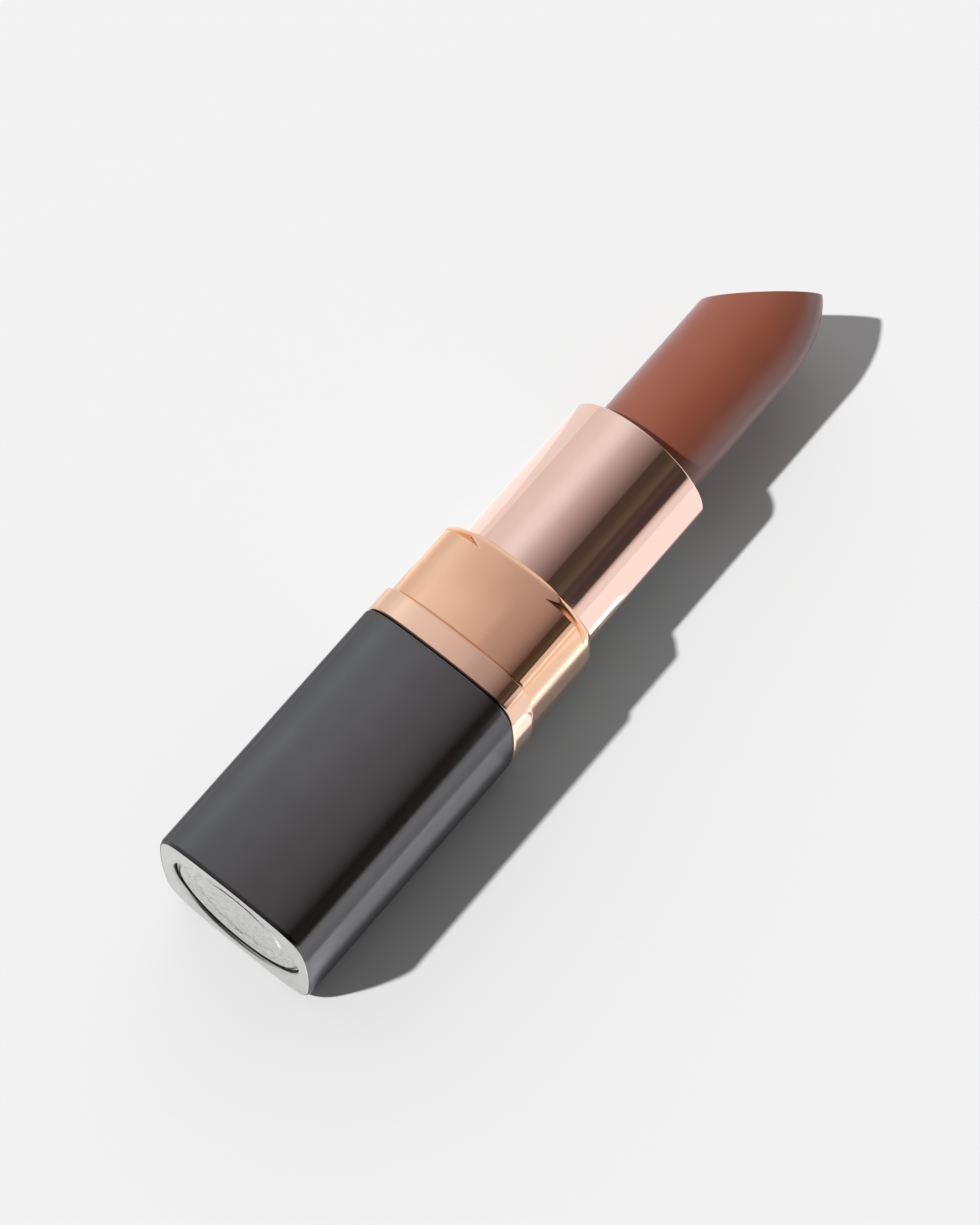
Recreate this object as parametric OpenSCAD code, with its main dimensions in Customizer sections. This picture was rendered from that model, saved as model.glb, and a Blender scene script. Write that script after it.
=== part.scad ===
// Lipstick case: a square black base, a rose gold collar that takes a cap, and a round
// sleeve that is turned against the base to raise and lower the lipstick. It lies on one
// flat side of the base, with the case axis along +X and the lipstick fully raised.

/* [Base] */
// Width of the base across its flats
base_w = 18.4; // [18.2:0.1:20]
// Radius of the four long corners of the base
base_r = 4.8; // [4.4:0.1:5.4]
// Length of the base, end plate included
base_l = 29.95; // [29:0.05:34]
// Wall of the base shell
shell_wall = 0.6; // [0.5:0.05:0.65]
// Rounding of the edge of the shell beside the trim ring
shell_edge = 0.4; // [0.2:0.05:0.6]

/* [End plate] */
// Thickness of the end plate's edge, seen from the side
plate_edge = 0.35; // [0.3:0.05:0.6]
// Diameter of the round recess in the end plate
recess_d = 15.3; // [14:0.1:15.4]
// Thickness of the disc in the recess
disc_t = 0.6; // [0.4:0.05:0.8]
// Depth of the disc's face below the rim of the end plate
disc_set_back = 0.55; // [0.1:0.05:0.7]
// Height of the rings raised on the disc
disc_relief = 0.1; // [0.05:0.01:0.2]

/* [Weight] */
// Diameter of the steel weight in the base
weight_d = 14; // [10:0.5:14]
// Length of the steel weight
weight_l = 9.5; // [6:0.5:10]

/* [Trim ring and collar] */
// Length of the trim ring
ring_l = 2.7; // [2:0.1:4]
// Width of the collar across its flats
collar_w = 17.8; // [17.4:0.1:17.9]
// Radius of the collar's long corners
collar_r = 5.2; // [4.8:0.1:5.4]
// Length of the collar up to the groove in its corners
collar_l = 8.05; // [7:0.05:10]
// Height of the boss above that groove
boss_h = 1.45; // [1.2:0.05:1.8]
// Largest radius of the boss
boss_r = 10.05; // [9.8:0.05:10.2]
// Depth of the groove in the corners, measured from the boss radius
groove_depth = 0.45; // [0.3:0.05:0.6]

/* [Sleeve] */
// Diameter of the outer sleeve
sleeve_d = 16; // [15.9:0.05:16]
// Distance from the end plate to the mouth of the sleeve
mouth_at = 60.1; // [60:0.1:64]
// Wall of the outer sleeve
sleeve_wall = 0.45; // [0.4:0.05:0.45]
// Rounding of the rim at the mouth
rim_edge = 0.2; // [0.15:0.05:0.4]

/* [Lipstick] */
// Diameter of the lipstick bullet
bullet_d = 11.8; // [11.6:0.05:12.1]
// Length of bullet that stands out of the mouth when fully raised
bullet_out = 25.1; // [20:0.1:25.5]
// Length of the rounded nose, down to where the bullet reaches its full diameter
nose_l = 10.4; // [9.5:0.1:12]
// Length that the slanted cut takes off the rounded nose
nose_cut = 1.2; // [0.8:0.1:2]
// Slope of the slanted cut, measured from the case axis
cut_slope = 45; // [40:1:50]
// Turn of the slanted cut about the case axis
cut_turn = -65.5; // [-180:0.5:180]

/* [Mechanism] */
// Travel of the lipstick, from fully lowered to fully raised
stroke = 26; // [20:0.5:26]
// Turns of the sleeve over the whole travel
turns = 1.25; // [1:0.05:1.5]
// Diameter of the two lugs on the bullet cup
lug_d = 1.9; // [1.6:0.1:2]
// Radial clearance between pieces that turn or slide in each other
running_gap = 0.06; // [0.05:0.01:0.08]

/* [Hidden] */
$fn = 96;
// Overshoot that lets a cutting shape pass through a face
over = 1;
// Gap between pieces that are fixed in each other
fixed_gap = 0.05;
// Gap along the case axis between pieces that turn against each other
turn_gap = 0.1;

overall_l = mouth_at + bullet_out;
inner_w = base_w - 2 * shell_wall;
inner_r = base_r - shell_wall;
plug_w = inner_w - 2 * fixed_gap;
plug_top = 2;
disc_d = recess_d - 0.3;
plate_round = 0.25;
ring_edge = 0.2;
collar_wall = 0.35;
collar_in_w = collar_w - 2 * collar_wall;
collar_in_r = collar_r - collar_wall;
// Outer and inner radius of the two lowered bands of the disc
disc_bands = [[7.1, 6.6], [6.2, 4.6]];

// Places along the case axis, measured from the end plate
weight_top = plug_top + weight_l;
liner_web_t = 1.7;
liner_web_top = weight_top + liner_web_t;
socket_l = 4.8;
liner_top = liner_web_top + socket_l;
washer_t = 0.5;
sleeve_foot = liner_top + washer_t + turn_gap;
flange_t = 0.5;
bush_bottom = sleeve_foot + flange_t + turn_gap;
collar_bottom = base_l + ring_l;
groove_at = collar_bottom + collar_l;
collar_top = groove_at + boss_h;
bush_in_collar = 4;
bush_top = collar_bottom + bush_in_collar;
lip_t = 0.65;
cam_top = mouth_at - lip_t - turn_gap;
tube_set_back = 0.15;
tube_top = cam_top - tube_set_back;
cup_set_back = 0.3;
cup_top = tube_top - cup_set_back;
cup_l = 13.4;
cup_bottom = cup_top - cup_l;
lug_rise = 1.7;
lug_at = cup_bottom + lug_rise;
cup_skirt = 3;
cup_floor = cup_bottom + cup_skirt;
cup_floor_t = 0.8;
bullet_bottom = cup_floor + cup_floor_t;

// Radii, from the lipstick outwards
bullet_r = bullet_d / 2;
cup_in_r = bullet_r + 0.02;
cup_wall = 0.43;
cup_out_r = cup_in_r + cup_wall;
tube_in_r = cup_out_r + running_gap;
tube_wall = 0.44;
tube_out_r = tube_in_r + tube_wall;
cam_in_r = tube_out_r + running_gap;
sleeve_r = sleeve_d / 2;
sleeve_in_r = sleeve_r - sleeve_wall;
cam_out_r = sleeve_in_r - 0.01;
bush_bore_r = sleeve_r + 0.08;
lip_in_r = cup_out_r + 0.25;
flange_r = sleeve_r + 0.3;
lug_tip_r = (cam_in_r + cam_out_r) / 2;

// Length by which a fused detail sinks into the piece that it grows from
rooted = 0.1;
rib_w = 0.5;
rib_h = 0.2;
rib_l = 7.5;
slot_w = lug_d + 0.2;
slot_end_gap = 0.3;
cam_slot_w = lug_d + 0.32;
// Turn by which each helical slot runs on past the travel at both of its ends
slot_overrun = 8;
slot_blocks = 32;
slot_cut = 2;
block_overlap = 0.2;
lead = stroke / turns;

// Lays the case axis along +X, with the base resting on z = 0
module in_case() {
    translate([-overall_l / 2, 0, base_w / 2]) rotate([0, 90, 0]) children();
}

module rounded_square(w, r) {
    square([w - 2 * r, w], center = true);
    square([w, w - 2 * r], center = true);
    for (x = [-1, 1], y = [-1, 1]) {
        translate([x * (w / 2 - r), y * (w / 2 - r)]) circle(r);
    }
}

module square_bar(w, r, from, to) {
    translate([0, 0, from]) linear_extrude(to - from) rounded_square(w, r);
}

module rod(r, from, to) {
    translate([0, 0, from]) cylinder(r = r, h = to - from);
}

module tube(r_out, r_in, from, to) {
    difference() {
        rod(r_out, from, to);
        rod(r_in, from - over, to + over);
    }
}

// Half of a side view: half width, height, and the roundings of its lower and upper edge
module soft_profile(half_w, h, low_edge, high_edge) {
    edge = max(low_edge, high_edge);
    square([half_w - edge, h]);
    translate([0, low_edge]) square([half_w, h - low_edge - high_edge]);
    intersection() {
        square([half_w, h]);
        for (e = [[low_edge, low_edge], [high_edge, h - high_edge]]) {
            if (e[0] > 0) translate([half_w - e[0], e[1]]) circle(e[0]);
        }
    }
    if (low_edge < edge) square([half_w - low_edge, h / 2]);
    if (high_edge < edge) translate([0, h / 2]) square([half_w - high_edge, h / 2]);
}

// Square bar with rounded edges at its two ends
module soft_bar(w, r, from, to, low_edge, high_edge) {
    h = to - from;
    straight = w - 2 * r;
    translate([0, 0, from]) {
        for (x = [-1, 1], y = [-1, 1]) {
            translate([x * straight / 2, y * straight / 2, 0]) {
                rotate_extrude() soft_profile(r, h, low_edge, high_edge);
            }
        }
        for (side = [0:3]) {
            rotate([0, 0, 90 * side]) translate([0, straight / 2, 0]) rotate([90, 0, 0]) {
                linear_extrude(straight) soft_profile(w / 2, h, low_edge, high_edge);
            }
        }
    }
}

// Black outer shell of the base
module base_shell() {
    color([0.13, 0.13, 0.14]) in_case() difference() {
        soft_bar(base_w, base_r, plate_edge, base_l, 0, shell_edge);
        square_bar(inner_w, inner_r, plate_edge - over, base_l + over);
    }
}

// Satin plate that closes the base, with a round recess and a plug inside the shell
module end_plate() {
    color([0.78, 0.79, 0.78]) in_case() difference() {
        union() {
            soft_bar(base_w, base_r, 0, plate_edge, plate_round, 0);
            square_bar(plug_w, inner_r - fixed_gap, plate_edge / 2, plug_top);
        }
        rod(recess_d / 2, -over, disc_set_back + disc_t);
    }
}

// Round disc in the recess, with raised rings
module end_disc() {
    color([0.72, 0.73, 0.72]) in_case() difference() {
        rod(disc_d / 2, disc_set_back, disc_set_back + disc_t);
        for (band = disc_bands) {
            tube(band[0], band[1], disc_set_back - over, disc_set_back + disc_relief);
        }
    }
}

// Steel weight that makes the base feel heavy
module base_weight() {
    color([0.62, 0.63, 0.65]) in_case() rod(weight_d / 2, plug_top, weight_top);
}

// Plastic liner: a pocket for the weight below, a socket for the guide tube above
module base_liner() {
    color([0.25, 0.25, 0.27]) in_case() difference() {
        square_bar(plug_w, inner_r - fixed_gap, plug_top, liner_top);
        rod(weight_d / 2 + fixed_gap, plug_top - over, weight_top + fixed_gap);
        rod(tube_out_r + fixed_gap, liner_web_top, liner_top + over);
    }
}

// Silicone washer under the sleeve that gives the twist its drag
module torque_washer() {
    color([0.85, 0.85, 0.82]) in_case() {
        tube(flange_r - turn_gap, tube_out_r + turn_gap, liner_top, liner_top + washer_t);
    }
}

// Fixed inner tube whose two straight slots keep the cup from turning
module guide_tube() {
    slot_top = lug_at + slot_end_gap;
    slot_bottom = lug_at - stroke - slot_end_gap;
    reach = 2 * (tube_out_r + over);
    color([0.9, 0.9, 0.88]) in_case() difference() {
        tube(tube_out_r, tube_in_r, liner_web_top, tube_top);
        translate([-reach / 2, -slot_w / 2, slot_bottom]) cube([reach, slot_w, slot_top - slot_bottom]);
        for (z = [slot_bottom, slot_top]) {
            translate([0, 0, z]) rotate([0, 90, 0]) cylinder(d = slot_w, h = reach, center = true);
        }
    }
}

// Bush that holds the sleeve down in the base and centres the ring and collar
module retaining_bush() {
    upper_w = collar_in_w - 2 * fixed_gap;
    color([0.3, 0.3, 0.32]) in_case() difference() {
        union() {
            square_bar(plug_w, inner_r - fixed_gap, bush_bottom, base_l);
            square_bar(upper_w, collar_in_r - fixed_gap, base_l - over, bush_top);
        }
        rod(bush_bore_r, bush_bottom - over, bush_top + over);
    }
}

// Rose gold ring between the base and the collar
module trim_ring() {
    color([0.86, 0.62, 0.5]) in_case() difference() {
        soft_bar(base_w, base_r, base_l, collar_bottom, ring_edge, ring_edge);
        square_bar(collar_in_w, collar_in_r, base_l - over, collar_bottom + over);
    }
}

// Side view of the turned boss: it takes only the corners off the square collar
module boss_profile() {
    neck_r = boss_r - groove_depth;
    groove_top = groove_at + groove_depth;
    top_edge = collar_top - groove_top;
    square([collar_w, groove_at]);
    polygon([[0, groove_at], [neck_r, groove_at], [boss_r, groove_top], [0, groove_top]]);
    square([boss_r - top_edge, collar_top]);
    intersection() {
        translate([boss_r - top_edge, groove_top]) circle(top_edge);
        translate([0, groove_top]) square([collar_w, top_edge]);
    }
}

// Rose gold collar that a cap slides over, with a turned boss at its top
module collar() {
    color([0.88, 0.64, 0.52]) in_case() difference() {
        intersection() {
            square_bar(collar_w, collar_r, collar_bottom, collar_top);
            rotate_extrude() boss_profile();
        }
        square_bar(collar_in_w, collar_in_r, collar_bottom - over, bush_top + fixed_gap);
        rod(bush_bore_r, collar_bottom - over, collar_top + over);
    }
}

// Rose gold tube that is turned to raise the lipstick, flanged at its foot
module outer_sleeve() {
    color([0.87, 0.66, 0.56]) in_case() rotate_extrude() {
        rim_r = sleeve_r - rim_edge;
        translate([sleeve_in_r, sleeve_foot]) square([sleeve_wall, mouth_at - rim_edge - sleeve_foot]);
        translate([sleeve_in_r, sleeve_foot]) square([flange_r - sleeve_in_r, flange_t]);
        translate([lip_in_r, mouth_at - lip_t]) square([rim_r - lip_in_r, lip_t]);
        translate([rim_r, mouth_at - rim_edge]) circle(rim_edge);
    }
}

// Cutter for one helical slot: short straight blocks laid end to end along the helix
module cam_slot(start_angle) {
    pitch_angle = atan(lead / (2 * PI * lug_tip_r));
    step_turn = (360 * turns + 2 * slot_overrun) / slot_blocks;
    block_l = 2 * PI * cam_out_r * step_turn / 360 / cos(pitch_angle) + block_overlap;
    for (i = [0:slot_blocks]) {
        turn = slot_overrun - i * step_turn;
        rotate([0, 0, start_angle + turn]) translate([lug_tip_r, 0, lug_at + lead * turn / 360]) {
            rotate([pitch_angle, 0, 0]) cube([slot_cut, block_l, cam_slot_w], center = true);
        }
    }
}

// Tube inside the sleeve whose two helical slots drive the lugs of the cup
module spiral_cam() {
    color([0.92, 0.92, 0.9]) in_case() difference() {
        tube(cam_out_r, cam_in_r, sleeve_foot, cam_top);
        for (start_angle = [0, 180]) cam_slot(start_angle);
    }
}

// Four ribs in the cup that grip the lipstick
module cup_ribs() {
    for (side = [0:3]) {
        rotate([0, 0, 45 + 90 * side]) {
            translate([cup_in_r - rib_h, -rib_w / 2, bullet_bottom]) {
                cube([rib_h + rooted, rib_w, rib_l]);
            }
        }
    }
}

// Cup that carries the lipstick up and down, with a lug on each side
module bullet_cup() {
    color([0.93, 0.92, 0.9]) in_case() {
        difference() {
            rod(cup_out_r, cup_bottom, cup_top);
            rod(cup_in_r, bullet_bottom, cup_top + over);
            rod(cup_in_r, cup_bottom - over, cup_floor);
        }
        cup_ribs();
        for (side = [0, 180]) {
            rotate([0, 0, side]) translate([cup_out_r - rooted, 0, lug_at]) rotate([0, 90, 0]) {
                cylinder(d = lug_d, h = lug_tip_r - cup_out_r + rooted);
            }
        }
    }
}

// Side view of the uncut bullet: a straight body and an elliptical nose
module bullet_profile() {
    nose_steps = 24;
    nose_from = overall_l + nose_cut - nose_l;
    polygon(concat(
        [[0, bullet_bottom], [bullet_r, bullet_bottom]],
        [for (i = [0:nose_steps])
            let (t = 90 * i / nose_steps)
            [bullet_r * cos(t), nose_from + nose_l * sin(t)]]
    ));
}

// Lipstick: a round bullet with a slanted cut through its nose
module lipstick_bullet() {
    tip_r = bullet_r * sqrt(1 - pow((nose_l - nose_cut) / nose_l, 2));
    cut = 4 * bullet_d;
    color([0.6, 0.33, 0.26]) in_case() difference() {
        rotate_extrude() bullet_profile();
        rotate([0, 0, cut_turn]) translate([tip_r, 0, overall_l]) rotate([0, cut_slope - 90, 0]) {
            translate([-cut / 2, -cut / 2, 0]) cube([cut, cut, cut]);
        }
        cup_ribs();
    }
}

base_shell();
end_plate();
end_disc();
base_weight();
base_liner();
torque_washer();
guide_tube();
retaining_bush();
trim_ring();
collar();
outer_sleeve();
spiral_cam();
bullet_cup();
lipstick_bullet();
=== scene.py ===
"""Looks of the lipstick case: detailed meshes, materials, light and camera around the CAD frame."""

import math

import bmesh
import bpy
from mathutils import Euler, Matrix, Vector


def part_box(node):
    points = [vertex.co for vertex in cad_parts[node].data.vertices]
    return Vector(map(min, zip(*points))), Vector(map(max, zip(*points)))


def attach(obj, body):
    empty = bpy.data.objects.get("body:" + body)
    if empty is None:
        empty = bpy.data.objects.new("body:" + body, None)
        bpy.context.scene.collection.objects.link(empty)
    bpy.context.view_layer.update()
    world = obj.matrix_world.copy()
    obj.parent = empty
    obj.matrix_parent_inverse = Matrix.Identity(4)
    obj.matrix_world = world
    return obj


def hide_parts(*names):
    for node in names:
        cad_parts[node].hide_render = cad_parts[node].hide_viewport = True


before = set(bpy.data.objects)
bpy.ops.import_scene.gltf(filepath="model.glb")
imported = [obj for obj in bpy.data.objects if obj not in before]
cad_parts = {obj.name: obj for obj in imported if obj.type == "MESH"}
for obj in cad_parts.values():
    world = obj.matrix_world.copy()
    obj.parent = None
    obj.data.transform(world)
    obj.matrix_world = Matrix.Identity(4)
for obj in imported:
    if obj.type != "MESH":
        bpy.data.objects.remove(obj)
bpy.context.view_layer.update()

MM = 0.001

# ---- Sizes, in millimetres, read from the CAD nodes -------------------------------------


def along(node):
    """Where a node starts and ends along the case axis, measured from the end plate."""
    low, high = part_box(node)
    return (low.x - END_X) / MM, (high.x - END_X) / MM


def half_width(node):
    low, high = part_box(node)
    return (high.y - low.y) / 2 / MM


END_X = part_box("end_plate")[0].x
AXIS_Z = (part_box("base_shell")[0].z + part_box("base_shell")[1].z) / 2
PLATE_EDGE, BASE_TOP = along("base_shell")
RING_TOP = along("trim_ring")[1]
COLLAR_TOP = along("collar")[1]
SLEEVE_FOOT, MOUTH = along("outer_sleeve")
BULLET_FOOT, TIP = along("lipstick_bullet")
BASE_HALF = half_width("base_shell")
RING_HALF = half_width("trim_ring")
COLLAR_HALF = half_width("collar")
DISC_R = half_width("end_disc")
BULLET_R = half_width("lipstick_bullet")

# ---- Mesh tools ----------------------------------------------------------------------

# Vertices round a piece
COLUMNS = 320
CREASE_ANGLE = math.radians(38)
# Distance of the extra vertices from the ends of a straight stretch, which keep its shading flat
GRIP = 0.07


class Section:
    """A square section with soft corners and crowned sides."""

    def __init__(self, power, crown):
        self.power, self.crown = power, crown

    def radius(self, angle, half):
        """Radius at an angle about the axis, for a section of that half width."""
        c, s = abs(math.cos(angle)), abs(math.sin(angle))
        square = half * (c**self.power + s**self.power) ** (-1 / self.power)
        return square - self.crown * math.sin(2 * angle) ** 2


# Superellipse power, and how much the corners are drawn in
BASE_SECTION = Section(5.3, 0.27)
COLLAR_SECTION = Section(4.9, 0.31)


def place(x, radius, angle):
    """A point in the row frame from its place along the axis, radius and angle."""
    return Vector(
        (
            END_X + x * MM,
            radius * math.cos(angle) * MM,
            AXIS_Z + radius * math.sin(angle) * MM,
        )
    )


def arc(x, r, radius, start, end, steps=6):
    """Points (place along the axis, radius) on an arc of a side view. 0 degrees is along +X."""
    turns = [math.radians(start + (end - start) * i / steps) for i in range(steps + 1)]
    return [(x + radius * math.cos(t), r + radius * math.sin(t)) for t in turns]


def gripped(profile):
    """The closed side view with a point close to each end of every long straight stretch."""
    points = []
    for (x0, r0), (x1, r1) in zip(profile, profile[1:] + profile[:1]):
        points.append((x0, r0))
        length = math.hypot(x1 - x0, r1 - r0)
        if length > 3 * GRIP:
            for f in (GRIP / length, 1 - GRIP / length):
                points.append((x0 + (x1 - x0) * f, r0 + (r1 - r0) * f))
    return points


def finish_mesh(name, bm, crease=CREASE_ANGLE):
    """An object from a bmesh, with smooth faces and creases where faces meet sharply."""
    bmesh.ops.recalc_face_normals(bm, faces=bm.faces)
    mesh = bpy.data.meshes.new(name)
    bm.to_mesh(mesh)
    bm.free()
    mesh.shade_smooth()
    mesh.set_sharp_from_angle(angle=crease)
    obj = bpy.data.objects.new(name, mesh)
    bpy.context.scene.collection.objects.link(obj)
    return obj


def skin(bm, rows, closed):
    """Faces between neighbouring rows of vertices, each row a closed loop."""
    pairs = list(zip(rows, rows[1:]))
    if closed:
        pairs.append((rows[-1], rows[0]))
    for low, high in pairs:
        for i in range(len(low)):
            j = (i + 1) % len(low)
            bm.faces.new((low[i], low[j], high[j], high[i]))


def fan(bm, row, centre):
    """Closes a loop of vertices with a fan to one centre point."""
    middle = bm.verts.new(centre)
    for i in range(len(row)):
        bm.faces.new((row[i], row[(i + 1) % len(row)], middle))


def loft(name, profile, radius_at, columns=COLUMNS):
    """A hollow piece: a closed side view carried round the axis. radius_at(x, r, angle) shapes it."""
    bm = bmesh.new()
    rows = []
    for x, r in gripped(profile):
        angles = [2 * math.pi * i / columns for i in range(columns)]
        rows.append([bm.verts.new(place(x, radius_at(x, r, a), a)) for a in angles])
    skin(bm, rows, closed=True)
    return finish_mesh(name, bm)


def round_radius(x, r, angle):
    return r


def base_radius(x, r, angle):
    return BASE_SECTION.radius(angle, r)


# ---- Materials -------------------------------------------------------------------------


class Finish:
    """A Principled material whose colour, roughness and surface vary a little from place to place."""

    def __init__(self, name, colour, roughness, metallic=0.0, specular=0.5):
        self.material = bpy.data.materials.new(name)
        self.material.use_nodes = True
        self.tree = self.material.node_tree
        self.shader = next(n for n in self.tree.nodes if n.type == "BSDF_PRINCIPLED")
        self.shader.inputs["Metallic"].default_value = metallic
        self.shader.inputs["Specular IOR Level"].default_value = specular
        self.coordinates = self.tree.nodes.new("ShaderNodeTexCoord")
        self.colour, self.roughness = colour, roughness
        self.shader.inputs["Base Color"].default_value = (*colour, 1)
        self.shader.inputs["Roughness"].default_value = roughness
        self.last_bump = None

    def noise(self, scale, detail=3.0, stretch=(1, 1, 1)):
        """Noise with features about 1 / scale of a metre across, stretched along the axes."""
        mapping = self.tree.nodes.new("ShaderNodeMapping")
        mapping.inputs["Scale"].default_value = stretch
        self.tree.links.new(self.coordinates.outputs["Object"], mapping.inputs["Vector"])
        texture = self.tree.nodes.new("ShaderNodeTexNoise")
        texture.inputs["Scale"].default_value = scale
        texture.inputs["Detail"].default_value = detail
        self.tree.links.new(mapping.outputs["Vector"], texture.inputs["Vector"])
        return texture.outputs["Fac"]

    def spread(self, value, low, high):
        """A noise value moved to the range low to high."""
        node = self.tree.nodes.new("ShaderNodeMapRange")
        node.inputs["From Min"].default_value = 0.3
        node.inputs["From Max"].default_value = 0.7
        node.inputs["To Min"].default_value = low
        node.inputs["To Max"].default_value = high
        self.tree.links.new(value, node.inputs["Value"])
        return node.outputs["Result"]

    def vary_colour(self, value, other):
        """Mixes the colour with another one where the value is high."""
        node = self.tree.nodes.new("ShaderNodeMix")
        node.data_type = "RGBA"
        node.inputs["A"].default_value = (*self.colour, 1)
        node.inputs["B"].default_value = (*other, 1)
        self.tree.links.new(self.spread(value, 0.0, 1.0), node.inputs["Factor"])
        self.tree.links.new(node.outputs["Result"], self.shader.inputs["Base Color"])
        return self

    def vary_roughness(self, value, by):
        out = self.spread(value, self.roughness - by, self.roughness + by)
        self.tree.links.new(out, self.shader.inputs["Roughness"])
        return self

    def neutral_bounce(self, level):
        """Throws light on to matt surfaces in grey, as the pale floor shows it."""
        node = self.tree.nodes.new("ShaderNodeMix")
        node.data_type = "RGBA"
        node.inputs["B"].default_value = (level, level, level, 1)
        path = self.tree.nodes.new("ShaderNodeLightPath")
        self.tree.links.new(path.outputs["Is Diffuse Ray"], node.inputs["Factor"])
        before = self.shader.inputs["Base Color"].links[0].from_socket
        self.tree.links.new(before, node.inputs["A"])
        self.tree.links.new(node.outputs["Result"], self.shader.inputs["Base Color"])
        return self

    def bump(self, value, height):
        """Relief of that height in metres, on top of any earlier one."""
        node = self.tree.nodes.new("ShaderNodeBump")
        node.inputs["Distance"].default_value = height
        self.tree.links.new(value, node.inputs["Height"])
        if self.last_bump:
            self.tree.links.new(self.last_bump.outputs["Normal"], node.inputs["Normal"])
        self.tree.links.new(node.outputs["Normal"], self.shader.inputs["Normal"])
        self.last_bump = node
        return self

    def on(self, obj):
        obj.data.materials.clear()
        obj.data.materials.append(self.material)
        return obj


def shaded(colour, by):
    return tuple(c * by for c in colour)


def plated(name, colour, roughness):
    """Polished rose gold plating on aluminium: fine drawn grain along the axis, faint clouding."""
    metal = Finish(name, colour, roughness, metallic=1.0)
    metal.vary_colour(metal.noise(240, 2), shaded(colour, 0.965))
    metal.vary_roughness(metal.noise(900, 4), roughness * 0.14)
    metal.bump(metal.noise(6000, 3, (0.06, 1, 1)), 1.2e-7)
    metal.neutral_bounce(0.6)
    return metal


def moulded(name, colour, roughness):
    """Moulded plastic: a fine even texture with soft clouding."""
    plastic = Finish(name, colour, roughness)
    plastic.vary_colour(plastic.noise(500, 3), shaded(colour, 0.9))
    plastic.vary_roughness(plastic.noise(2500, 3), 0.06)
    plastic.bump(plastic.noise(9000, 3), 2e-6)
    return plastic


def satin_black():
    """Satin black plating of the base: very fine grain and faint smears."""
    coat = Finish("satin_black_plating", (0.138, 0.138, 0.142), 0.24, metallic=1.0)
    coat.vary_colour(coat.noise(420, 4), (0.128, 0.128, 0.133))
    coat.shader.inputs["Specular Tint"].default_value = (0.5, 0.5, 0.52, 1)
    coat.vary_roughness(coat.noise(1400, 5), 0.03)
    coat.bump(coat.noise(14000, 4), 0.9e-6)
    return coat


def satin_silver():
    """Satin plated end plate."""
    metal = Finish("satin_silver_plating", (0.68, 0.685, 0.67), 0.32, metallic=1.0)
    metal.vary_colour(metal.noise(700, 4), (0.62, 0.625, 0.61))
    metal.vary_roughness(metal.noise(1600, 4), 0.06)
    metal.bump(metal.noise(5200, 4), 2.2e-6)
    return metal


def embossed_silver():
    """The disc: the same plating over a hammered ground."""
    metal = Finish("embossed_silver_plating", (0.7, 0.71, 0.69), 0.24, metallic=1.0)
    metal.vary_colour(metal.noise(1500, 4), (0.55, 0.555, 0.54))
    metal.vary_roughness(metal.noise(2600, 4), 0.08)
    metal.bump(metal.noise(1300, 3), 5.5e-5)
    metal.bump(metal.noise(7000, 4), 6e-6)
    return metal


def lipstick_wax():
    """Satin lipstick: an even pigment, a soft sheen and faint mould marks."""
    wax = Finish("lipstick_wax", (0.205, 0.057, 0.031), 0.32, specular=0.4)
    wax.vary_colour(wax.noise(260, 4), (0.191, 0.053, 0.0285))
    wax.shader.inputs["Sheen Weight"].default_value = 0.4
    wax.shader.inputs["Sheen Roughness"].default_value = 0.4
    wax.shader.inputs["Sheen Tint"].default_value = (0.9, 0.84, 1.0, 1)
    wax.vary_roughness(wax.noise(1700, 4), 0.04)
    wax.bump(wax.noise(2600, 5), 1.6e-6)
    return wax


def machined_steel():
    steel = Finish("machined_steel", (0.36, 0.36, 0.38), 0.32, metallic=1.0)
    steel.vary_colour(steel.noise(900, 3), (0.42, 0.42, 0.44))
    steel.vary_roughness(steel.noise(1800, 4, (8, 1, 1)), 0.08)
    steel.bump(steel.noise(2500, 2, (10, 0.3, 0.3)), 4e-6)
    return steel


# ---- Pieces -----------------------------------------------------------------------------


def fit(obj, material, body, slot, *nodes):
    """Gives a new piece its material and body and hides the CAD nodes it stands for. The slot is not
    used.
    """
    material.on(obj)
    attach(obj, body)
    if nodes:
        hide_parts(*nodes)
    return obj


SHELL_WALL = 0.6
SHELL_FOOT = 0.02
# Chamfer at the foot of the shell: its length and the softening of its two ends
CHAMFER_L = 0.45
CHAMFER_START = 0.04
CHAMFER_END = 0.06
CHAMFER_SAG = 0.012
SHELL_TOP_EDGE = 0.4
PLATE_INSET = 0.2
PLATE_GAP = 0.02


def make_base_case():
    """The black shell, open at both ends."""
    inner = BASE_HALF - SHELL_WALL
    seat = BASE_HALF - PLATE_INSET + PLATE_GAP
    top = SHELL_TOP_EDGE
    profile = (
        [(BASE_TOP, inner), (PLATE_EDGE, inner), (PLATE_EDGE, seat), (SHELL_FOOT, seat)]
        + [(SHELL_FOOT + CHAMFER_START, seat + CHAMFER_START)]
        + [(CHAMFER_L - CHAMFER_END, BASE_HALF - CHAMFER_SAG), (CHAMFER_L + CHAMFER_END, BASE_HALF)]
        + arc(BASE_TOP - top, BASE_HALF - top, top, 90, 0)
    )
    piece = loft("base_case", profile, base_radius)
    return fit(piece, satin_black(), "base", "matte_black", "base_shell")


RECESS_R = 7.65
RECESS_EDGE = 0.38
PLATE_ROUND = 0.08
PLATE_BACK = 1.15
PLUG_GAP = 0.1
# Allowance where a radius is compared with the recess
CLOSE = 0.01


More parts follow.
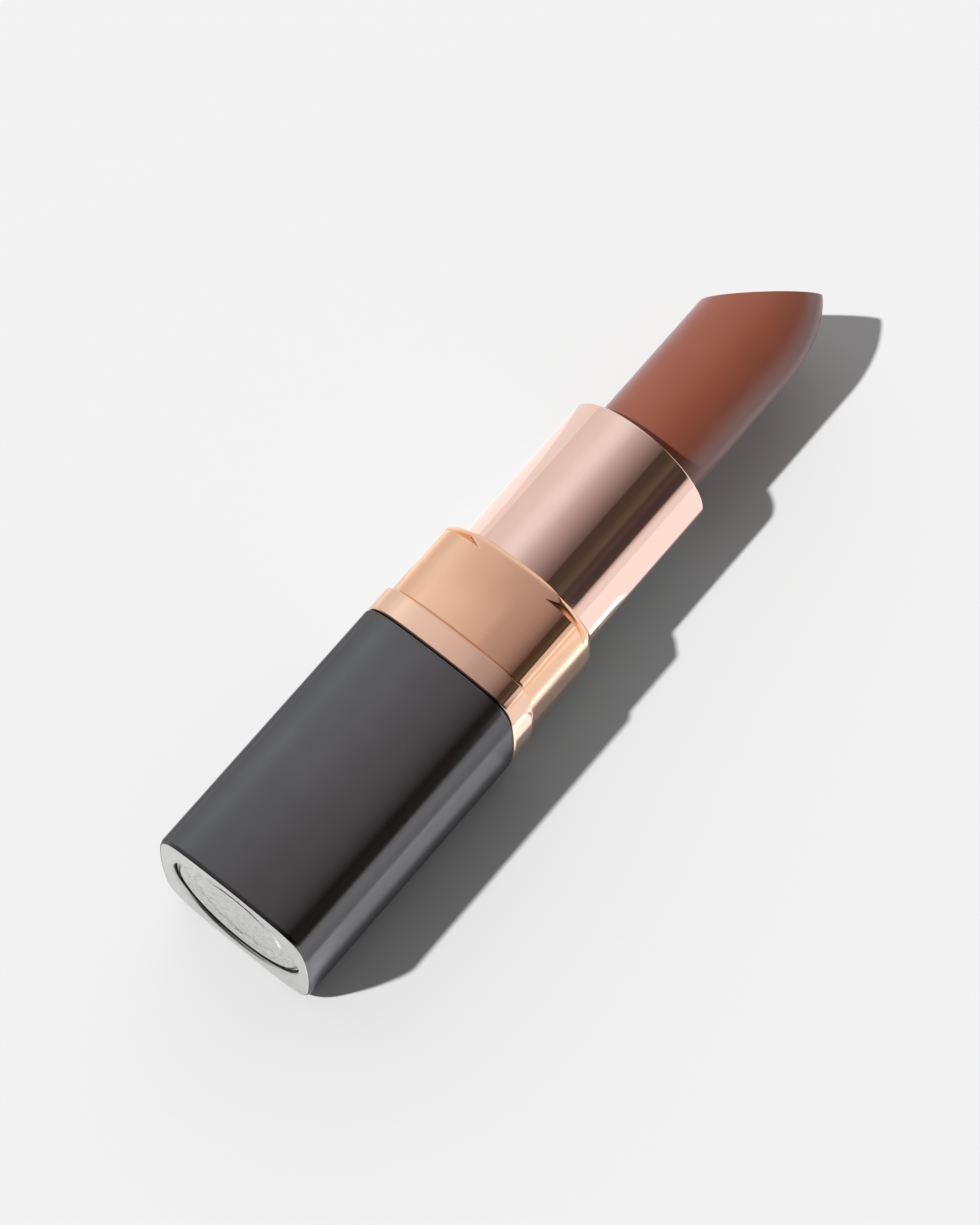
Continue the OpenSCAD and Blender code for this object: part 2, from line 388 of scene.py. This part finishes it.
def make_end_plate():
    """The satin plate, with a round recess whose wall is painted near black as shade in the gap round
    the disc.
    """

    def radius_at(x, r, angle):
        return r if r < RECESS_R + RECESS_EDGE + CLOSE else BASE_SECTION.radius(angle, r)

    edge, lip = PLATE_ROUND, RECESS_EDGE
    rim = BASE_HALF - PLATE_INSET
    plug = BASE_HALF - SHELL_WALL - PLUG_GAP
    profile = (
        [(PLATE_BACK, RECESS_R)]
        + arc(lip, RECESS_R + lip, lip, 270, 180, 8)
        + arc(edge, rim - edge, edge, 180, 90)
        + [(PLATE_EDGE, rim), (PLATE_EDGE, plug), (PLATE_BACK, plug)]
    )
    piece = loft("end_plate_visual", profile, radius_at)
    fit(piece, satin_silver(), "base", "satin_silver", "end_plate")
    # Painted shade: the recess wall gets a near-black material that stands for the dark gap between the
    # plate and the disc
    wall = moulded("recess_wall_painted_shade", (0.008, 0.008, 0.009), 0.5)
    piece.data.materials.append(wall.material)
    # Faces inside the recess radius get the painted shade
    for face in piece.data.polygons:
        corners = [piece.data.vertices[i].co for i in face.vertices]
        if max(math.hypot(c.y, c.z - AXIS_Z) for c in corners) < (RECESS_R + CLOSE) * MM:
            face.material_index = 1
    return piece


# Places of the disc from the outer face of the plate: crests of its rings, and its back
DISC_FACE = 0.36
DISC_BACK = 1.15
# The side of the disc ends this far below the crests, and the relief starts this far in from it
DISC_SIDE = 0.18
DISC_EDGE = 0.08
DISC_COLUMNS = 240
DISC_ROWS = 64
RING_HEIGHT = 0.2
PETAL_HEIGHT = 0.07
SPIRAL_HEIGHT = 0.06
PETALS = 24
ARMS = 12
ARM_TWIST = 2.4
# Bands of the relief: radius of the middle and half width
DISC_RINGS = ((6.95, 0.2), (5.75, 0.2), (5.3, 0.13))
PETAL_BAND = (6.35, 0.28)
SPIRAL_BAND = (3.2, 1.3)


def swell(radius, band):
    """1 in the middle of a band, falling off smoothly on both sides."""
    middle, width = band
    return math.exp(-(((radius - middle) / width) ** 2))


def disc_height(radius, angle):
    """Relief of the disc: raised rings, a row of petals between them and a spiral rosette."""
    petals = 0.5 + 0.5 * math.cos(PETALS * angle)
    arms = 0.5 + 0.5 * math.cos(ARMS * angle + ARM_TWIST * radius)
    return max(
        RING_HEIGHT * max(swell(radius, ring) for ring in DISC_RINGS),
        PETAL_HEIGHT * swell(radius, PETAL_BAND) * petals,
        SPIRAL_HEIGHT * swell(radius, SPIRAL_BAND) * arms,
    )


def make_end_disc():
    """The embossed disc in the recess, with a generic rosette."""
    bm = bmesh.new()
    angles = [2 * math.pi * i / DISC_COLUMNS for i in range(DISC_COLUMNS)]
    side = (DISC_BACK, DISC_FACE + DISC_SIDE)
    rows = [[bm.verts.new(place(x, DISC_R, a)) for a in angles] for x in side]
    ground = DISC_FACE + RING_HEIGHT
    for k in range(DISC_ROWS, 0, -1):
        r = (DISC_R - DISC_EDGE) * k / DISC_ROWS
        rows.append([bm.verts.new(place(ground - disc_height(r, a), r, a)) for a in angles])
    skin(bm, rows, closed=False)
    fan(bm, rows[-1], place(ground, 0, 0))
    fan(bm, rows[0], place(DISC_BACK, 0, 0))
    piece = finish_mesh("end_disc_visual", bm)
    return fit(piece, embossed_silver(), "base", "embossed_silver", "end_disc")


RING_EDGE = 0.22
RING_TOP_EDGE = 0.09
THIN_WALL = 0.35


def make_trim_ring():
    """The ring between the black base and the collar."""
    inner = COLLAR_HALF - THIN_WALL
    edge = RING_EDGE
    top = RING_TOP_EDGE
    profile = (
        [(RING_TOP, inner), (BASE_TOP, inner)]
        + arc(BASE_TOP + edge, RING_HALF - edge, edge, 180, 90)
        + arc(RING_TOP - top, RING_HALF - top, top, 90, 0)
    )
    piece = loft("trim_ring_visual", profile, base_radius)
    return fit(piece, rose_ring, "base", "rose_gold_ring", "trim_ring")


BOSS_H = 1.45
GROOVE_L = 0.5
GROOVE_AT = COLLAR_TOP - BOSS_H
GROOVE_TOP = GROOVE_AT + GROOVE_L
GROOVE_R = 9.6
BOSS_R = 10.05
BOSS_TOP_R = 8.5
# Power of the curve that rounds the boss over
BOSS_CURVE = 2.2
COLLAR_BORE = 8.08
# The end faces stay round this far out from the bore
BORE_LIP = 0.2
COLLAR_FOOT_EDGE = 0.36
TURNED_EDGE = 0.05
# The flats draw in by this much over this length below the top
DRAW_IN = 0.35
DRAW_IN_L = 0.8
BOSS_ROWS = 44
# Half the width of the step from the square tube to the groove
STEP = 0.002


def boss_radius(x):
    """Radius of the turned outline at the top of the collar. Below the groove it clears the corners."""
    if x <= GROOVE_AT:
        return 2 * BOSS_R
    if x <= GROOVE_TOP:
        return GROOVE_R + (BOSS_R - GROOVE_R) * (x - GROOVE_AT) / GROOVE_L
    t = min(1.0, (x - GROOVE_TOP) / (COLLAR_TOP - GROOVE_TOP))
    return BOSS_TOP_R + (BOSS_R - BOSS_TOP_R) * math.sqrt(max(0.0, 1 - t**BOSS_CURVE))


def least(a, b, soft):
    """The smaller of two radii, rounded off where they cross."""
    h = max(soft - abs(a - b), 0.0) / soft
    return min(a, b) - h * h * soft / 4


def make_collar():
    """The collar: a square tube whose top is turned down to a round boss."""

    def radius_at(x, r, angle):
        if r < COLLAR_BORE + BORE_LIP:
            return r
        near_top = max(0.0, x - (COLLAR_TOP - DRAW_IN_L)) / DRAW_IN_L
        flat = COLLAR_SECTION.radius(angle, r - DRAW_IN * near_top**2)
        return least(flat, boss_radius(x), TURNED_EDGE)

    foot = COLLAR_FOOT_EDGE
    tops = [GROOVE_AT - STEP, GROOVE_AT + STEP]
    tops += [GROOVE_AT + BOSS_H * i / BOSS_ROWS for i in range(1, BOSS_ROWS + 1)]
    profile = (
        [(COLLAR_TOP, COLLAR_BORE), (RING_TOP, COLLAR_BORE)]
        + arc(RING_TOP + foot, COLLAR_HALF - foot, foot, 180, 90)
        + [(x, COLLAR_HALF) for x in tops]
    )
    piece = loft("collar_visual", profile, radius_at)
    return fit(piece, rose_collar, "base", "rose_gold_collar", "collar")


SLEEVE_R = 8.0
SLEEVE_IN_R = 7.55
FLANGE_R = 8.3
FLANGE_T = 0.5
SLEEVE_COLUMNS = 240
LIP_IN_R = 6.6
LIP_T = 0.65
RIM_EDGE = 0.2
LIP_EDGE = 0.1


def make_sleeve():
    """The polished tube that turns, with a rolled rim and a thin lip round the lipstick."""
    flange_top = SLEEVE_FOOT + FLANGE_T
    profile = (
        [(SLEEVE_FOOT, SLEEVE_IN_R), (SLEEVE_FOOT, FLANGE_R)]
        + [(flange_top, FLANGE_R), (flange_top, SLEEVE_R)]
        + arc(MOUTH - RIM_EDGE, SLEEVE_R - RIM_EDGE, RIM_EDGE, 90, 0, 8)
        + arc(MOUTH - LIP_EDGE, LIP_IN_R + LIP_EDGE, LIP_EDGE, 0, -90, 4)
        + [(MOUTH - LIP_T, LIP_IN_R), (MOUTH - LIP_T, SLEEVE_IN_R)]
    )
    piece = loft("sleeve_visual", profile, round_radius, SLEEVE_COLUMNS)
    return fit(piece, rose_sleeve, "sleeve", "rose_gold_sleeve", "outer_sleeve")


NOSE_L = 10.4
NOSE_CUT = 1.2
NOSE_FOOT = TIP + NOSE_CUT - NOSE_L
# Side of the bullet that keeps the tip, as an angle in place()
CUT_SIDE = math.radians(180 + 24.5)
CUT_EDGE = 0.16
CUT_CREASE = math.radians(60)
BULLET_FOOT_EDGE = 0.2
BULLET_COLUMNS = 192
STRAIGHT_ROWS = 8
NOSE_ROWS = 40
# The rows of the nose start this far below it and crowd towards the cut by this power
NOSE_LEAD = 1.5
NOSE_CROWD = 1.5
# Rings of the cut face, as shares of its outline
CUT_RINGS = (0.96, 0.86, 0.7, 0.5, 0.25)
HALVINGS = 48


def nose_radius(x):
    """Radius of the uncut bullet at a place along the axis."""
    rise = max(0.0, (x - NOSE_FOOT) / NOSE_L)
    return BULLET_R * math.sqrt(max(0.0, 1 - rise**2))


def cut_place(offset):
    """Where the 45 degree cut stands, at an offset from the axis towards the tip's side."""
    return TIP - (nose_radius(TIP) - offset)


def cut_edge(turn):
    """Place along the axis where the slanted cut meets the surface, found by halving."""
    low, high = BULLET_FOOT, TIP + NOSE_CUT
    for _ in range(HALVINGS):
        middle = (low + high) / 2
        if middle < cut_place(nose_radius(middle) * math.cos(turn)):
            low = middle
        else:
            high = middle
    return low


def make_bullet():
    """The lipstick: a round bullet with an elliptical nose and a slanted cut."""
    bm = bmesh.new()
    turns = [2 * math.pi * i / BULLET_COLUMNS for i in range(BULLET_COLUMNS)]
    foot = BULLET_FOOT_EDGE
    side_view = arc(BULLET_FOOT + foot, BULLET_R - foot, foot, 180, 90, 4)
    straight_foot, straight_top = BULLET_FOOT + foot, NOSE_FOOT - NOSE_LEAD
    for i in range(1, STRAIGHT_ROWS + 1):
        side_view.append((straight_foot + (straight_top - straight_foot) * i / STRAIGHT_ROWS, BULLET_R))
    rows = [[bm.verts.new(place(x, r, CUT_SIDE + t)) for t in turns] for x, r in side_view]
    edges = [cut_edge(t) for t in turns]
    for i in range(1, NOSE_ROWS + 1):
        f = 1 - (1 - i / NOSE_ROWS) ** NOSE_CROWD
        places = [straight_top + (edge - straight_top) * f for edge in edges]
        rows.append(
            [bm.verts.new(place(x, nose_radius(x), CUT_SIDE + t)) for x, t in zip(places, turns)]
        )
    skin(bm, rows, closed=False)
    fan(bm, rows[0], place(BULLET_FOOT, 0, 0))
    rim = rows[-1]
    centre = sum((v.co for v in rim), Vector()) / len(rim)
    face_rows = [rim]
    for f in CUT_RINGS:
        face_rows.append([bm.verts.new(centre + (v.co - centre) * f) for v in rim])
    skin(bm, face_rows, closed=False)
    fan(bm, face_rows[-1], centre)
    rim_edges = [bm.edges.get(pair) for pair in zip(rim, rim[1:] + rim[:1])]
    bmesh.ops.bevel(
        bm,
        geom=rim_edges,
        offset=CUT_EDGE * MM,
        segments=3,
        profile=0.5,
        affect="EDGES",
        clamp_overlap=True,
    )
    piece = finish_mesh("bullet_visual", bm, CUT_CREASE)
    return fit(piece, lipstick_wax(), "carriage", "lipstick_wax", "lipstick_bullet")


rose_ring = plated("rose_gold_ring_plating", (0.95, 0.63, 0.47), 0.12)
rose_collar = plated("rose_gold_collar_plating", (0.95, 0.575, 0.385), 0.11)
rose_sleeve = plated("rose_gold_sleeve_plating", (0.97, 0.68, 0.59), 0.065)

make_base_case()
make_end_plate()
make_end_disc()
make_trim_ring()
make_collar()
make_sleeve()
make_bullet()

CARRIED_OVER = {
    "base_weight": machined_steel(),
    "base_liner": moulded("liner_plastic", (0.05, 0.05, 0.055), 0.5),
    "torque_washer": moulded("washer_silicone", (0.72, 0.72, 0.68), 0.6),
    "guide_tube": moulded("guide_tube_plastic", (0.78, 0.78, 0.75), 0.4),
    "retaining_bush": moulded("bush_plastic", (0.07, 0.07, 0.075), 0.5),
    "spiral_cam": moulded("cam_plastic", (0.8, 0.8, 0.78), 0.4),
    "bullet_cup": moulded("cup_plastic", (0.82, 0.8, 0.77), 0.3),
}
for node, material in CARRIED_OVER.items():
    material.on(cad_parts[node])

# ---- Floor -------------------------------------------------------------------------------

FLOOR_HALF = 4.0
FLOOR_COLOUR = (0.6, 0.6, 0.6)
FLOOR_DROP = 0.00002


def make_floor():
    bm = bmesh.new()
    bmesh.ops.create_grid(bm, x_segments=8, y_segments=8, size=FLOOR_HALF)
    floor = finish_mesh("floor", bm)
    floor.location.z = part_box("base_shell")[0].z - FLOOR_DROP
    paper = Finish("floor_paper", FLOOR_COLOUR, 0.9, specular=0.0)
    paper.on(floor)


make_floor()

# ---- Light ---------------------------------------------------------------------------------

SUN_FROM = Vector((-0.55, 0.35, 1.0))
SUN_STRENGTH = 4.15
SUN_ANGLE = math.radians(1.9)


def make_sun():
    data = bpy.data.lights.new("key_light", "SUN")
    data.energy = SUN_STRENGTH
    data.angle = SUN_ANGLE
    sun = bpy.data.objects.new("key_light", data)
    sun.rotation_euler = SUN_FROM.to_track_quat("Z", "Y").to_euler()
    sun.visible_glossy = False
    bpy.context.scene.collection.objects.link(sun)


# White cards that only reflections show: name, centre and size in millimetres, the way
# they face as a turn about X (0 down, 90 towards +Y, 180 up), and brightness
CARDS = (
    ("base_card", (-36, -13.6, 0.3), (48, 5.0), 180, 1.15),
    ("ring_card", (-9.4, -14.0, 0.3), (5.2, 4.6), 180, 1.0),
    ("collar_card", (1.3, -15.3, 0.3), (15.6, 4.2), 180, 0.9),
    ("wide_right_card", (-28, -40, 0.3), (65, 60), 180, 0.08),
    ("sleeve_card", (32, -40, 0.3), (55, 59), 180, 0.2),
    ("side_card", (9, -60, 30), (13, 28), 90, 0.75),
    ("left_card", (10, 35, 0.3), (23, 51), 180, 0.2),
    ("wide_top_card", (3, 41, 100), (32, 66), 0, 0.14),
    ("top_card", (3, 40, 100), (32, 42), 0, 0.12),
)


def make_card(name, centre, size, turn, level):
    data = bpy.data.lights.new(name, "AREA")
    data.shape = "RECTANGLE"
    data.size, data.size_y = (length * MM for length in size)
    data.energy = level * math.pi * data.size * data.size_y
    card = bpy.data.objects.new(name, data)
    card.location = Vector(centre) * MM
    card.rotation_euler = (math.radians(turn), 0, 0)
    card.visible_camera = False
    card.visible_diffuse = False
    bpy.context.scene.collection.objects.link(card)


# What the metal reflects round the case axis: degrees from straight up, towards -Y, and colour
STUDIO = (
    (-100, (0.76, 0.72, 0.69)),
    (-86, (0.79, 0.76, 0.75)),
    (-60, (0.81, 0.81, 0.81)),
    (-45, (0.88, 0.91, 0.93)),
    (-34, (0.86, 0.89, 0.91)),
    (-26, (0.77, 0.77, 0.78)),
    (-14, (0.58, 0.54, 0.55)),
    (-3, (0.45, 0.4, 0.41)),
    (8, (0.33, 0.28, 0.28)),
    (20, (0.2, 0.16, 0.16)),
    (27, (0.14, 0.11, 0.11)),
    (29, (0.065, 0.05, 0.042)),
    (42, (0.074, 0.059, 0.042)),
    (48, (0.1, 0.083, 0.062)),
    (54, (0.113, 0.097, 0.073)),
    (58, (0.066, 0.05, 0.042)),
    (65, (0.08, 0.065, 0.057)),
    (71, (0.064, 0.047, 0.044)),
    (82, (0.07, 0.055, 0.053)),
    (84, (0.5, 0.43, 0.4)),
    (88, (0.8, 0.76, 0.74)),
    (100, (0.9, 0.87, 0.86)),
)
# The ramp covers this many degrees on each side of straight up
HALF_SWEEP = 100
# The studio darkens towards -X: X of the direction where it is darkest and where it is full,
# and its level at each
DARK_END = (-0.7, -0.15, 0.08, 1.0)
# Broad light on matt surfaces: where it comes from, its peak, its width and the least level
FILL_FROM = Vector((0.61, 0.61, 0.5)).normalized()
FILL_PEAK = 0.95
FILL_POWER = 3.0
FILL_LEAST = 0.18
# Level behind the floor
BACKDROP = 0.87


class Graph:
    """The nodes of the world, made and linked in few words."""

    def __init__(self, world):
        world.use_nodes = True
        self.tree = world.node_tree
        self.tree.nodes.clear()

    def node(self, kind, **values):
        made = self.tree.nodes.new(kind)
        for key, value in values.items():
            setattr(made, key, value)
        return made

    def link(self, output, socket):
        self.tree.links.new(output, socket)

    def math(self, operation, first, *others):
        """The result of a Math node on an output and plain numbers."""
        made = self.node("ShaderNodeMath", operation=operation)
        self.link(first, made.inputs[0])
        for socket, value in zip(list(made.inputs)[1:], others):
            socket.default_value = value
        return made.outputs[0]

    def spread(self, value, *ends):
        """A value moved from one range to another: from, from, to, to."""
        made = self.node("ShaderNodeMapRange")
        for key, end in zip(("From Min", "From Max", "To Min", "To Max"), ends):
            made.inputs[key].default_value = end
        self.link(value, made.inputs["Value"])
        return made.outputs["Result"]


def reflected_studio(graph, direction):
    """What the metal reflects: bright on the left and overhead, dark on the right and towards -X."""
    split = graph.node("ShaderNodeSeparateXYZ")
    graph.link(direction, split.inputs[0])
    turn = graph.node("ShaderNodeMath", operation="ARCTAN2")
    graph.link(graph.math("MULTIPLY", split.outputs["Y"], -1), turn.inputs[0])
    graph.link(split.outputs["Z"], turn.inputs[1])
    sweep = math.radians(HALF_SWEEP)
    ramp = graph.node("ShaderNodeValToRGB")
    graph.link(graph.spread(turn.outputs[0], -sweep, sweep, 0, 1), ramp.inputs["Fac"])
    stops = ramp.color_ramp.elements
    while len(stops) < len(STUDIO):
        stops.new(0.5)
    for stop, (degrees, colour) in zip(stops, STUDIO):
        stop.position = (degrees + HALF_SWEEP) / (2 * HALF_SWEEP)
        stop.color = (*colour, 1)
    light = graph.node("ShaderNodeBackground")
    graph.link(ramp.outputs["Color"], light.inputs["Color"])
    graph.link(graph.spread(split.outputs["X"], *DARK_END), light.inputs["Strength"])
    return light


def broad_fill(graph, direction):
    """The soft light that matt surfaces get."""
    facing = graph.node("ShaderNodeVectorMath", operation="DOT_PRODUCT")
    graph.link(direction, facing.inputs[0])
    facing.inputs[1].default_value = FILL_FROM
    lobe = graph.math("POWER", graph.math("MAXIMUM", facing.outputs["Value"], 0), FILL_POWER)
    light = graph.node("ShaderNodeBackground")
    light.inputs["Color"].default_value = (1, 1, 1, 1)
    graph.link(graph.math("MULTIPLY_ADD", lobe, FILL_PEAK, FILL_LEAST), light.inputs["Strength"])
    return light


def plain_backdrop(graph):
    light = graph.node("ShaderNodeBackground")
    light.inputs["Color"].default_value = (BACKDROP, BACKDROP, BACKDROP, 1)
    return light


def make_world():
    """One light for reflections, one for matt surfaces and a plain backdrop."""
    world = bpy.data.worlds.new("studio")
    bpy.context.scene.world = world
    graph = Graph(world)
    direction = graph.node("ShaderNodeTexCoord").outputs["Generated"]
    path = graph.node("ShaderNodeLightPath")
    light = reflected_studio(graph, direction)
    for kind, other in (
        ("Is Diffuse Ray", broad_fill(graph, direction)),
        ("Is Camera Ray", plain_backdrop(graph)),
    ):
        mix = graph.node("ShaderNodeMixShader")
        graph.link(path.outputs[kind], mix.inputs["Fac"])
        graph.link(light.outputs[0], mix.inputs[1])
        graph.link(other.outputs[0], mix.inputs[2])
        light = mix
    out = graph.node("ShaderNodeOutputWorld")
    graph.link(light.outputs[0], out.inputs["Surface"])
    world.cycles.sampling_method = "NONE"


make_sun()
for card in CARDS:
    make_card(*card)
make_world()

# ---- Camera --------------------------------------------------------------------------------

# The point in the middle of the picture, in metres, and where the camera stands round it
AIM = Vector((-0.00397, 0.00098, 0.0099))
CAMERA_AZIMUTH = math.radians(-50.31)
CAMERA_ELEVATION = math.radians(69.45)
CAMERA_ROLL = math.radians(-0.145)
CAMERA_DISTANCE = 0.46
CAMERA_LENS = 141.7


def make_camera():
    data = bpy.data.cameras.new("camera")
    data.sensor_width = 36
    data.lens = CAMERA_LENS
    data.clip_start = 0.02
    data.clip_end = 20
    camera = bpy.data.objects.new("camera", data)
    back = Vector(
        (
            math.sin(CAMERA_AZIMUTH) * math.cos(CAMERA_ELEVATION),
            -math.cos(CAMERA_AZIMUTH) * math.cos(CAMERA_ELEVATION),
            math.sin(CAMERA_ELEVATION),
        )
    )
    camera.location = AIM + back * CAMERA_DISTANCE
    turn = (-back).to_track_quat("-Z", "Y") @ Euler((0, 0, CAMERA_ROLL)).to_quaternion()
    camera.rotation_euler = turn.to_euler()
    bpy.context.scene.collection.objects.link(camera)
    bpy.context.scene.camera = camera


make_camera()
bpy.context.scene.view_settings.view_transform = "Standard"
